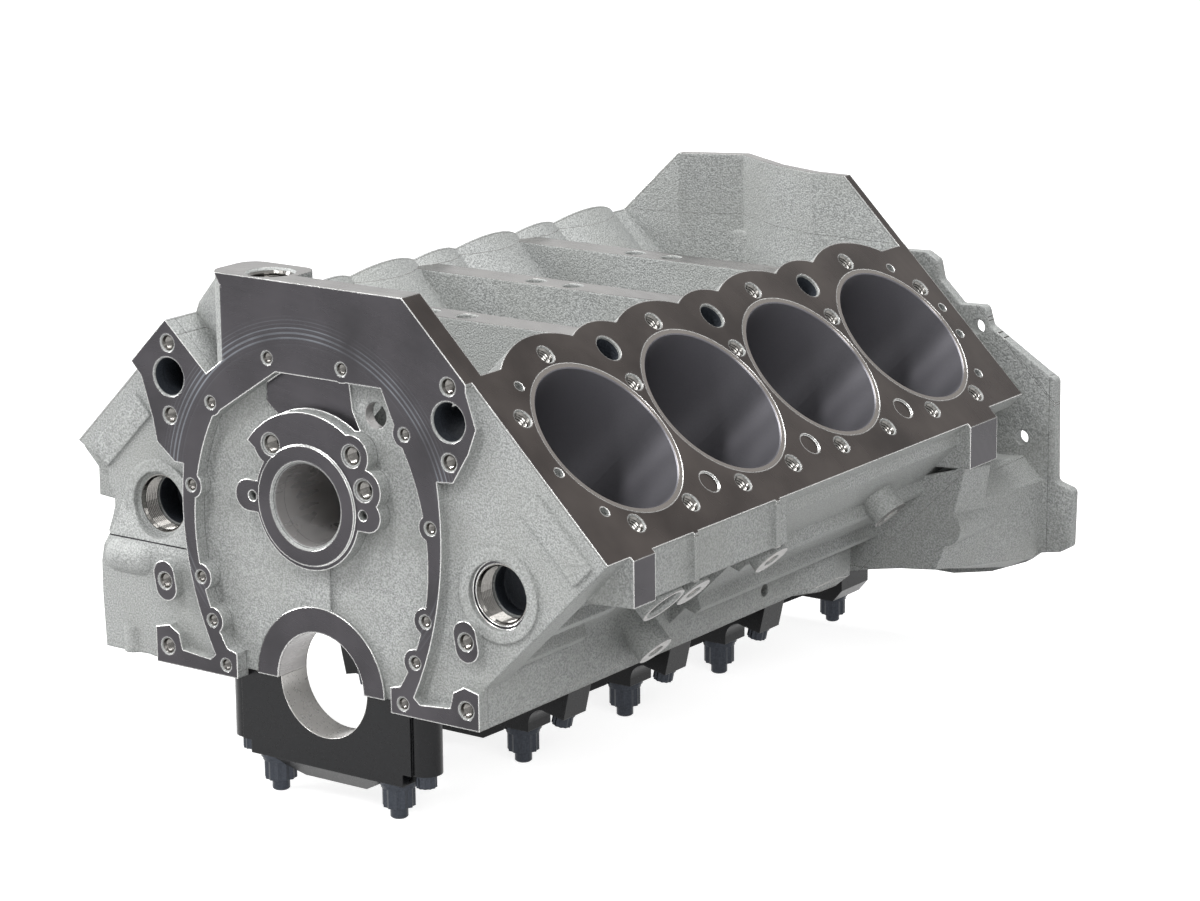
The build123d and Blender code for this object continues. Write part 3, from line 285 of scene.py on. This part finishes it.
def casting_material():
    """Sand-cast aluminium, blasted, and milled where it seals.

    The cast skin is a pale satin with a sandy grain. A milled face is smooth and glossy, with faint arcs of
    the cutter in its gloss; it is painted dark on the decks and front faces, as a dark reflection, with thin
    arcs of painted highlight on the front plate and a painted highlight along each edge. Turned bores are
    brighter, the milled tops and undersides are painted brighter as a bright reflection, and the openings
    into the water jacket are painted dark as their shade.
    """
    material, tree = node_material("sand_cast_aluminium_with_milled_faces")
    place = add(tree, "ShaderNodeTexCoord", {})[3]
    x, y, z = add(tree, "ShaderNodeSeparateXYZ", {0: place})
    across, = add(tree, "ShaderNodeMath", {0: x}, operation="ABSOLUTE")
    half, = add(tree, "ShaderNodeCombineXYZ", {0: across, 1: y, 2: z})
    flat, = add(tree, "ShaderNodeVectorMath", {0: place, 1: (1, 0, 1)}, operation="MULTIPLY")

    painted_hollow_shade, = add(tree, "ShaderNodeMath", {
        0: coolant_shade_mask(tree, x, y, half), 1: jacket_shade_mask(tree, flat, y),
    }, operation="MAXIMUM")
    deck = faces_mask(tree, half, deck_faces)
    front = faces_mask(tree, half, front_faces)
    bright = faces_mask(tree, half, bright_faces)
    bores = bores_mask(tree, flat)
    from_crank, = add(tree, "ShaderNodeVectorMath", {0: flat}, operation="LENGTH")
    boss, = add(tree, "ShaderNodeMath", {0: from_crank, 1: main_boss_reach * MM}, operation="LESS_THAN")
    ahead, = add(tree, "ShaderNodeMath", {0: y, 1: 0.1 * MM}, operation="LESS_THAN")
    boss, = add(tree, "ShaderNodeMath", {0: boss, 1: ahead}, operation="MULTIPLY")
    front, = add(tree, "ShaderNodeMath", {0: front, 1: boss}, operation="MAXIMUM")
    smooth, = add(tree, "ShaderNodeMath", {0: deck, 1: front}, operation="MAXIMUM")
    light, = add(tree, "ShaderNodeMath", {0: bright, 1: bores}, operation="MAXIMUM")
    milled, = add(tree, "ShaderNodeMath", {0: smooth, 1: light}, operation="MAXIMUM")

    # sand grain of about 0.7 mm, drawn at 1.1 mm so that it shows, over clouds of 40 mm
    sand = add(tree, "ShaderNodeTexNoise", {"Vector": place, "Scale": 1 / (1.1 * MM), "Detail": 1.0})[0]
    sand, = add(tree, "ShaderNodeMapRange", {0: sand, 1: 0.3, 2: 0.7})
    cloud = add(tree, "ShaderNodeTexNoise", {"Vector": place, "Scale": 1 / (40 * MM), "Detail": 2.0})[0]
    cloud, = add(tree, "ShaderNodeMapRange", {0: cloud, 1: 0.35, 2: 0.7, 3: 0.0, 4: 0.4})
    skin, = add(tree, "ShaderNodeMix", {
        "Factor": sand, "A": linear("#747675"), "B": linear("#a9abaa"),
    }, data_type="RGBA")
    skin, = add(tree, "ShaderNodeMix", {
        "Factor": cloud, "A": skin, "B": linear("#8a8c88"),
    }, data_type="RGBA")

    # arcs of a face mill, with its 1.6 mm feed drawn at 6 mm, seen in the gloss and faintly in the relief,
    # round a point 70 mm beside and 200 mm below the crank axis. A wave node's rings are 0.31 / scale apart.
    swept, = add(tree, "ShaderNodeMapping", {"Vector": place, "Location": (0.07, 0, 0.2)})
    feed = add(tree, "ShaderNodeTexWave", {
        "Vector": swept, "Scale": 0.31 / (6 * MM), "Distortion": 3.0, "Detail": 3.0, "Detail Scale": 2.0,
    }, wave_type="RINGS", rings_direction="SPHERICAL")[1]
    # stains of about 50 mm
    marks = add(tree, "ShaderNodeTexNoise", {"Vector": place, "Scale": 1 / (50 * MM), "Detail": 3.0})[0]
    marks, = add(tree, "ShaderNodeMapRange", {0: marks, 1: 0.3, 2: 0.7})
    finish = skin
    # milled faces: painted lighter on the tops and undersides and darker on the decks and front faces, as
    # painted reflections; the stains mix a dull and a clear tone of each
    for mask, dull, clear in (
        (bright, "#757371", "#9d9b99"),
        (bores, "#a9a7a6", "#bdbbba"),
        (deck, "#3d3836", "#544e4b"),
        (front, "#363537", "#464447"),
        # painted shade inside the openings of the water jacket and the coolant ports
        (painted_hollow_shade, "#1c2026", "#2c3138"),
    ):
        tone, = add(tree, "ShaderNodeMix", {
            "Factor": marks, "A": linear(dull), "B": linear(clear),
        }, data_type="RGBA")
        finish, = add(tree, "ShaderNodeMix", {"Factor": mask, "A": finish, "B": tone}, data_type="RGBA")
    arcs = tool_arc_highlight(tree, flat, z, marks)
    arc_highlight, = add(tree, "ShaderNodeMath", {0: arcs, 1: front}, operation="MULTIPLY")
    arc_highlight, = add(tree, "ShaderNodeMath", {0: arc_highlight, 1: ahead}, operation="MULTIPLY")
    # tool arcs on the front plate, painted bright as a highlight
    finish, = add(tree, "ShaderNodeMix", {
        "Factor": arc_highlight, "A": finish, "B": linear("#aab2ba"),
    }, data_type="RGBA")

    # edges: rounded by 2 mm in the cast skin and 1.5 mm where milled, with a painted highlight along the
    # edges of the decks and front faces
    soft, = add(tree, "ShaderNodeBevel", {"Radius": 2 * MM}, samples=6)
    crisp, = add(tree, "ShaderNodeBevel", {"Radius": 1.5 * MM}, samples=6)
    rounded, = add(tree, "ShaderNodeMix", {"Factor": milled, "A": soft, "B": crisp}, data_type="VECTOR")
    facing = add(tree, "ShaderNodeNewGeometry", {})[3]
    turn, = add(tree, "ShaderNodeVectorMath", {0: crisp, 1: facing}, operation="DOT_PRODUCT")
    edge, = add(tree, "ShaderNodeMapRange", {0: turn, 1: 0.985, 2: 0.8})
    edge_highlight, = add(tree, "ShaderNodeMath", {0: edge, 1: smooth}, operation="MULTIPLY")
    finish, = add(tree, "ShaderNodeMix", {
        "Factor": edge_highlight, "A": finish, "B": linear("#f4f4f2"),
    }, data_type="RGBA")

    sandy, = add(tree, "ShaderNodeMix", {"Factor": sand, "A": 0.52, "B": 0.68}, data_type="FLOAT")
    polished, = add(tree, "ShaderNodeMix", {"Factor": marks, "A": 0.16, "B": 0.34}, data_type="FLOAT")
    polished, = add(tree, "ShaderNodeMath", {0: feed, 1: 0.05, 2: polished}, operation="MULTIPLY_ADD")
    rough, = add(tree, "ShaderNodeMix", {"Factor": milled, "A": sandy, "B": polished}, data_type="FLOAT")
    scored, = add(tree, "ShaderNodeMath", {0: feed, 1: 0.006}, operation="MULTIPLY")
    height, = add(tree, "ShaderNodeMix", {"Factor": milled, "A": sand, "B": scored}, data_type="FLOAT")
    relief, = add(tree, "ShaderNodeBump", {
        "Strength": 0.6, "Distance": 0.4 * MM, "Height": height, "Normal": rounded,
    })
    metal, = add(tree, "ShaderNodeMix", {"Factor": milled, "A": 0.15, "B": 1.0}, data_type="FLOAT")
    metal, = add(tree, "ShaderNodeMix", {"Factor": bores, "A": metal, "B": 0.6}, data_type="FLOAT")
    shader, = add(tree, "ShaderNodeBsdfPrincipled", {
        "Base Color": finish, "Metallic": metal, "Roughness": rough, "Normal": relief,
    })
    add(tree, "ShaderNodeOutputMaterial", {"Surface": shader})
    return material


def sleeve_material():
    """Grey iron, honed: a dark satin inside the bore, with a brighter faced rim at the deck."""
    material, tree = node_material("honed_grey_iron")
    place = add(tree, "ShaderNodeTexCoord", {})[3]
    half, = add(tree, "ShaderNodeVectorMath", {0: place}, operation="ABSOLUTE")
    up = add(tree, "ShaderNodeVectorMath", {0: half, 1: (lean, 0, lean)}, operation="DOT_PRODUCT")[0]
    rim, = add(tree, "ShaderNodeMath", {0: up, 1: deck_height * MM, 2: 0.15 * MM}, operation="COMPARE")
    # hone scratches of some hundredths, drawn at 0.8 mm so that they show
    hone = add(tree, "ShaderNodeTexNoise", {"Vector": place, "Scale": 1 / (0.8 * MM), "Detail": 3.0})[0]
    wall, = add(tree, "ShaderNodeMix", {
        "Factor": hone, "A": linear("#66656a"), "B": linear("#727176"),
    }, data_type="RGBA")
    tone, = add(tree, "ShaderNodeMix", {
        "Factor": rim, "A": wall, "B": linear("#7a7571"),
    }, data_type="RGBA")
    worn, = add(tree, "ShaderNodeMix", {"Factor": hone, "A": 0.38, "B": 0.44}, data_type="FLOAT")
    rough, = add(tree, "ShaderNodeMix", {"Factor": rim, "A": worn, "B": 0.25}, data_type="FLOAT")
    # the hone strokes spread each highlight along the bore axis
    x = add(tree, "ShaderNodeSeparateXYZ", {0: place})[0]
    side, = add(tree, "ShaderNodeMath", {0: x}, operation="SIGN")
    grain, = add(tree, "ShaderNodeCombineXYZ", {0: side, 2: 1.0})
    spread, = add(tree, "ShaderNodeMix", {"Factor": rim, "A": 0.85, "B": 0.0}, data_type="FLOAT")
    shader, = add(tree, "ShaderNodeBsdfPrincipled", {
        "Base Color": tone, "Metallic": 0.75, "Roughness": rough, "Anisotropic": spread, "Tangent": grain,
    })
    add(tree, "ShaderNodeOutputMaterial", {"Surface": shader})
    return material


def cap_material():
    """Steel, milled and black-oxided: near black and glossy, with bare ground metal in the bearing bore."""
    material, tree = node_material("black_oxide_steel")
    place = add(tree, "ShaderNodeTexCoord", {})[3]
    flat, = add(tree, "ShaderNodeVectorMath", {0: place, 1: (1, 0, 1)}, operation="MULTIPLY")
    reach, = add(tree, "ShaderNodeVectorMath", {0: flat}, operation="LENGTH")
    bore, = add(tree, "ShaderNodeMath", {
        0: reach, 1: main_bore_radius * MM, 2: 0.2 * MM,
    }, operation="COMPARE")
    # milling marks of 0.5 mm, drawn at 2 mm
    marks = add(tree, "ShaderNodeTexNoise", {"Vector": place, "Scale": 1 / (2 * MM), "Detail": 4.0})[0]
    oxide, = add(tree, "ShaderNodeMix", {
        "Factor": marks, "A": linear("#040405"), "B": linear("#101114"),
    }, data_type="RGBA")
    tone, = add(tree, "ShaderNodeMix", {
        "Factor": bore, "A": oxide, "B": linear("#d0cecb"),
    }, data_type="RGBA")
    worn, = add(tree, "ShaderNodeMix", {"Factor": marks, "A": 0.22, "B": 0.36}, data_type="FLOAT")
    edge, = add(tree, "ShaderNodeBevel", {"Radius": 0.9 * MM}, samples=4)
    metal, = add(tree, "ShaderNodeMix", {"Factor": bore, "A": 0.55, "B": 0.6}, data_type="FLOAT")
    shader, = add(tree, "ShaderNodeBsdfPrincipled", {
        "Base Color": tone, "Metallic": metal, "Roughness": worn, "Normal": edge,
    })
    add(tree, "ShaderNodeOutputMaterial", {"Surface": shader})
    return material


def fastener_material():
    """Alloy steel studs, nuts, washers and bolts, black-oxided and oiled: a blue-grey sheen."""
    material, tree = node_material("oiled_black_oxide_steel")
    place = add(tree, "ShaderNodeTexCoord", {})[3]
    # turning marks, drawn at 1.2 mm
    marks = add(tree, "ShaderNodeTexNoise", {"Vector": place, "Scale": 1 / (1.2 * MM), "Detail": 3.0})[0]
    oxide, = add(tree, "ShaderNodeMix", {
        "Factor": marks, "A": linear("#23252a"), "B": linear("#43474e"),
    }, data_type="RGBA")
    worn, = add(tree, "ShaderNodeMix", {"Factor": marks, "A": 0.24, "B": 0.36}, data_type="FLOAT")
    edge, = add(tree, "ShaderNodeBevel", {"Radius": 0.6 * MM}, samples=4)
    shader, = add(tree, "ShaderNodeBsdfPrincipled", {
        "Base Color": oxide, "Metallic": 0.8, "Roughness": worn, "Normal": edge,
    })
    add(tree, "ShaderNodeOutputMaterial", {"Surface": shader})
    return material


def shaded_thread_material():
    """Threads cut in the bare aluminium: glossy bare metal, mottled by tool marks, and painted dark as the
    shade inside their holes.
    """
    material, tree = node_material("cut_aluminium_thread_painted_shade")
    place = add(tree, "ShaderNodeTexCoord", {})[3]
    # tool marks, drawn at 0.8 mm
    marks = add(tree, "ShaderNodeTexNoise", {"Vector": place, "Scale": 1 / (0.8 * MM), "Detail": 2.0})[0]
    # dark tones: the shade inside the holes, painted in, mottled by the tool marks
    tone, = add(tree, "ShaderNodeMix", {
        "Factor": marks, "A": linear("#54524f"), "B": linear("#8d8b88"),
    }, data_type="RGBA")
    worn, = add(tree, "ShaderNodeMix", {"Factor": marks, "A": 0.14, "B": 0.26}, data_type="FLOAT")
    shader, = add(tree, "ShaderNodeBsdfPrincipled", {
        "Base Color": tone, "Metallic": 1.0, "Roughness": worn,
    })
    add(tree, "ShaderNodeOutputMaterial", {"Surface": shader})
    return material


def dress_nodes():
    """Gives each carried node its material."""
    fastener = fastener_material()
    kinds = {
        "block_casting": casting_material(),
        "cylinder_sleeve": sleeve_material(),
        "main_cap": cap_material(),
        "main_studs": fastener,
        "main_nuts": fastener,
        "main_washers": fastener,
        "outer_bolts": fastener,
    }
    for name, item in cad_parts.items():
        for kind, material in kinds.items():
            if name.startswith(kind):
                item.data.materials.clear()
                item.data.materials.append(material)


def deck_spots(side, places):
    """Deck holes of one bank, from their place along the block and across the deck, with the axis down."""
    return [
        ((side * (deck_height - s) * lean, y, (deck_height + s) * lean), (-side * lean, 0, -lean))
        for y, s in places
    ]


def side_spots(side, places):
    """Holes of the side bosses, from their place along the block and up the bank."""
    return [
        ((side * (u + mount_face) * lean, y, (u - mount_face) * lean), (-side * lean, 0, lean))
        for y, u in places
    ]


def thread(name, material, spots, radius, pitch, depth, start=0.9):
    """Threads of one size in all their holes, as one piece.

    In each hole a ring profile turns about the axis. Along the depth its inner side runs to and fro
    between just inside the hole's radius and about half a pitch further in, once each pitch, and climbs
    with the angle like a helix. Its outer side is a plain wall just outside the hole. It has three open
    faults: the faces look into the ring, the rows step back by a pitch where the turn closes, and rows
    that would climb past the end stop there, where some of them share points.
    """
    around = thread_points
    steps = int(round(2 * depth / pitch))
    count = np.arange(steps + 1)
    angle = np.linspace(0, 2 * np.pi, around, endpoint=False)
    along = np.linspace(start, depth, steps + 1)
    climb = pitch * angle / (2 * np.pi)
    inner = along[:, None] + np.where((count % steps == 0)[:, None], 0, climb[None, :])
    inner = np.clip(inner, start, depth)
    tooth = radius - thread_inset * radius - thread_height * pitch * (count % 2)
    tooth = np.broadcast_to(tooth[:, None], inner.shape)
    radii = np.concatenate([tooth, np.full((2, around), radius + thread_wall)])
    levels = np.concatenate([inner, np.full((1, around), depth), np.full((1, around), start)])
    rows = len(radii)
    row = np.arange(rows)[:, None]
    column = np.arange(around)[None, :]
    beside = (column + 1) % around
    beyond = (row + 1) % rows
    quads = np.stack([
        row * around + column,
        row * around + beside,
        beyond * around + beside,
        beyond * around + column,
    ], axis=-1).reshape(-1, 4)
    points, faces = [], []
    for place, axis in spots:
        inward = Vector(axis)
        first = inward.orthogonal().normalized()
        second = inward.cross(first)
        ring = np.outer(np.cos(angle), np.array(first)) + np.outer(np.sin(angle), np.array(second))
        faces.append(quads + len(points) * rows * around)
        points.append(np.array(place) + radii[..., None] * ring + levels[..., None] * np.array(inward))
    mesh = bpy.data.meshes.new(name)
    mesh.from_pydata((np.concatenate(points) * MM).reshape(-1, 3), [], np.concatenate(faces).tolist())
    piece = bpy.data.objects.new(name, mesh)
    bpy.context.scene.collection.objects.link(piece)
    mesh.materials.append(material)
    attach(piece, "root")


def cut_threads(cut):
    """Threads of the deck, side, front, top and core holes."""
    deck_places, side_places = [], []
    for side, first in ((1, first_bore), (-1, first_bore + bank_offset)):
        stations = [first + i * bore_pitch for i in range(bores_per_bank)]
        places = [(y, valley_row) for y in stations]
        places += [(y - bore_pitch / 2, middle_row) for y in stations]
        places += [(stations[-1] + bore_pitch / 2, middle_row)]
        places += [(y + half * bore_pitch / 4, outer_row) for y in stations for half in (-1, 1)]
        deck_places += deck_spots(side, places)
        side_places += side_spots(side, side_bosses)
    thread("deck_threads", cut, deck_places, radius=5.6, pitch=1.8, depth=18.0)
    thread("side_boss_threads", cut, side_places, radius=4.8, pitch=1.6, depth=14.0)

    rearward = (0, 1, 0)
    spots = [((side * x, plate_front, z), rearward) for x, z in cover_holes for side in (1, -1)]
    thread("cover_threads", cut, spots, radius=3.6, pitch=1.3, depth=11.0)
    pump_holes = [(water_port_x, wall_top - drop) for drop in pump_drops]
    spots = [
        ((side * x, plate_front, z), rearward) for x, z in lug_holes + pump_holes for side in (1, -1)
    ]
    thread("front_threads", cut, spots, radius=4.9, pitch=1.6, depth=14.0)
    spots = [((*top_port, wall_top), (0, 0, -1))]
    thread("top_port_thread", cut, spots, radius=14.0, pitch=2.0, depth=20.0, start=1.6)
    spots = [((x, cam_arc_front, cam_height + rise), rearward) for x, rise in gallery_holes]
    thread("gallery_threads", cut, spots, radius=5.8, pitch=1.4, depth=12.0, start=1.5)
    for name, (x, z), face in (
        ("left_core_thread", left_core, bank_front), ("right_core_thread", right_core, right_face),
    ):
        spots = [((x, face - core_plate_height, z), rearward)]
        thread(name, cut, spots, radius=18.5, pitch=2.0, depth=17.0, start=4.2)


def background_rays(tree):
    """One for the rays that show the background: camera, glossy and transmission rays."""
    paths = add(tree, "ShaderNodeLightPath", {})
    seen, = add(tree, "ShaderNodeMath", {0: paths[0], 1: paths[3]}, operation="MAXIMUM")
    return add(tree, "ShaderNodeMath", {0: seen, 1: paths[6]}, operation="MAXIMUM")[0]


def make_stage():
    """Plain white floor at the stud tips, that keeps the object's shadow."""
    level = cad_low.z
    corners = [(-1, -1), (1, -1), (1, 1), (-1, 1)]
    mesh = bpy.data.meshes.new("floor")
    mesh.from_pydata([(a * floor_reach, b * floor_reach, level) for a, b in corners], [], [(0, 1, 2, 3)])
    floor = bpy.data.objects.new("floor", mesh)
    bpy.context.scene.collection.objects.link(floor)
    material, tree = node_material("white_floor")
    glow, = add(tree, "ShaderNodeMath", {0: background_rays(tree), 1: floor_glow}, operation="MULTIPLY")
    shader, = add(tree, "ShaderNodeBsdfPrincipled", {
        "Base Color": linear("#b4b4b4"), "Roughness": 0.9,
        "Emission Color": linear("#ffffff"), "Emission Strength": glow,
    })
    add(tree, "ShaderNodeOutputMaterial", {"Surface": shader})
    mesh.materials.append(material)


def light_scene():
    """Square soft lamps in front, above and on both sides, in a pale room."""
    world = bpy.data.worlds.new("room")
    bpy.context.scene.world = world
    world.use_nodes = True
    tree = world.node_tree
    tree.nodes.clear()
    glow, = add(tree, "ShaderNodeMix", {
        "Factor": background_rays(tree), "A": room_light, "B": 1.0,
    }, data_type="FLOAT")
    room, = add(tree, "ShaderNodeBackground", {"Color": linear("#ffffff"), "Strength": glow})
    add(tree, "ShaderNodeOutputWorld", {"Surface": room})
    for name, place, size, power in lamps:
        data = bpy.data.lights.new(name, "AREA")
        data.size = size
        data.energy = power
        lamp = bpy.data.objects.new(name, data)
        lamp.location = place
        lamp.rotation_mode = "QUATERNION"
        lamp.rotation_quaternion = (lamp_aim - Vector(place)).to_track_quat("-Z", "Y")
        bpy.context.scene.collection.objects.link(lamp)


def make_camera():
    """Camera with the photograph's place, aim, roll and field of view."""
    level_reach = math.cos(camera_elevation)
    back = Vector((
        math.sin(camera_azimuth) * level_reach,
        -math.cos(camera_azimuth) * level_reach,
        math.sin(camera_elevation),
    ))
    right = (-back).cross(Vector((0, 0, 1))).normalized()
    up = right.cross(-back)
    turned_right = math.cos(camera_roll) * right + math.sin(camera_roll) * up
    turned_up = math.cos(camera_roll) * up - math.sin(camera_roll) * right
    data = bpy.data.cameras.new("camera")
    data.sensor_width = sensor_width
    data.lens = focal_pixels * sensor_width / photo_width
    data.clip_start = nearest_seen
    data.clip_end = farthest_seen
    camera = bpy.data.objects.new("camera", data)
    turn = Matrix((turned_right, turned_up, back)).transposed()
    camera.matrix_world = Matrix.Translation(camera_place) @ turn.to_4x4()
    bpy.context.scene.collection.objects.link(camera)
    bpy.context.scene.camera = camera


dress_nodes()
cut_threads(shaded_thread_material())
make_stage()
light_scene()
make_camera()
bpy.context.scene.view_settings.view_transform = "Standard"
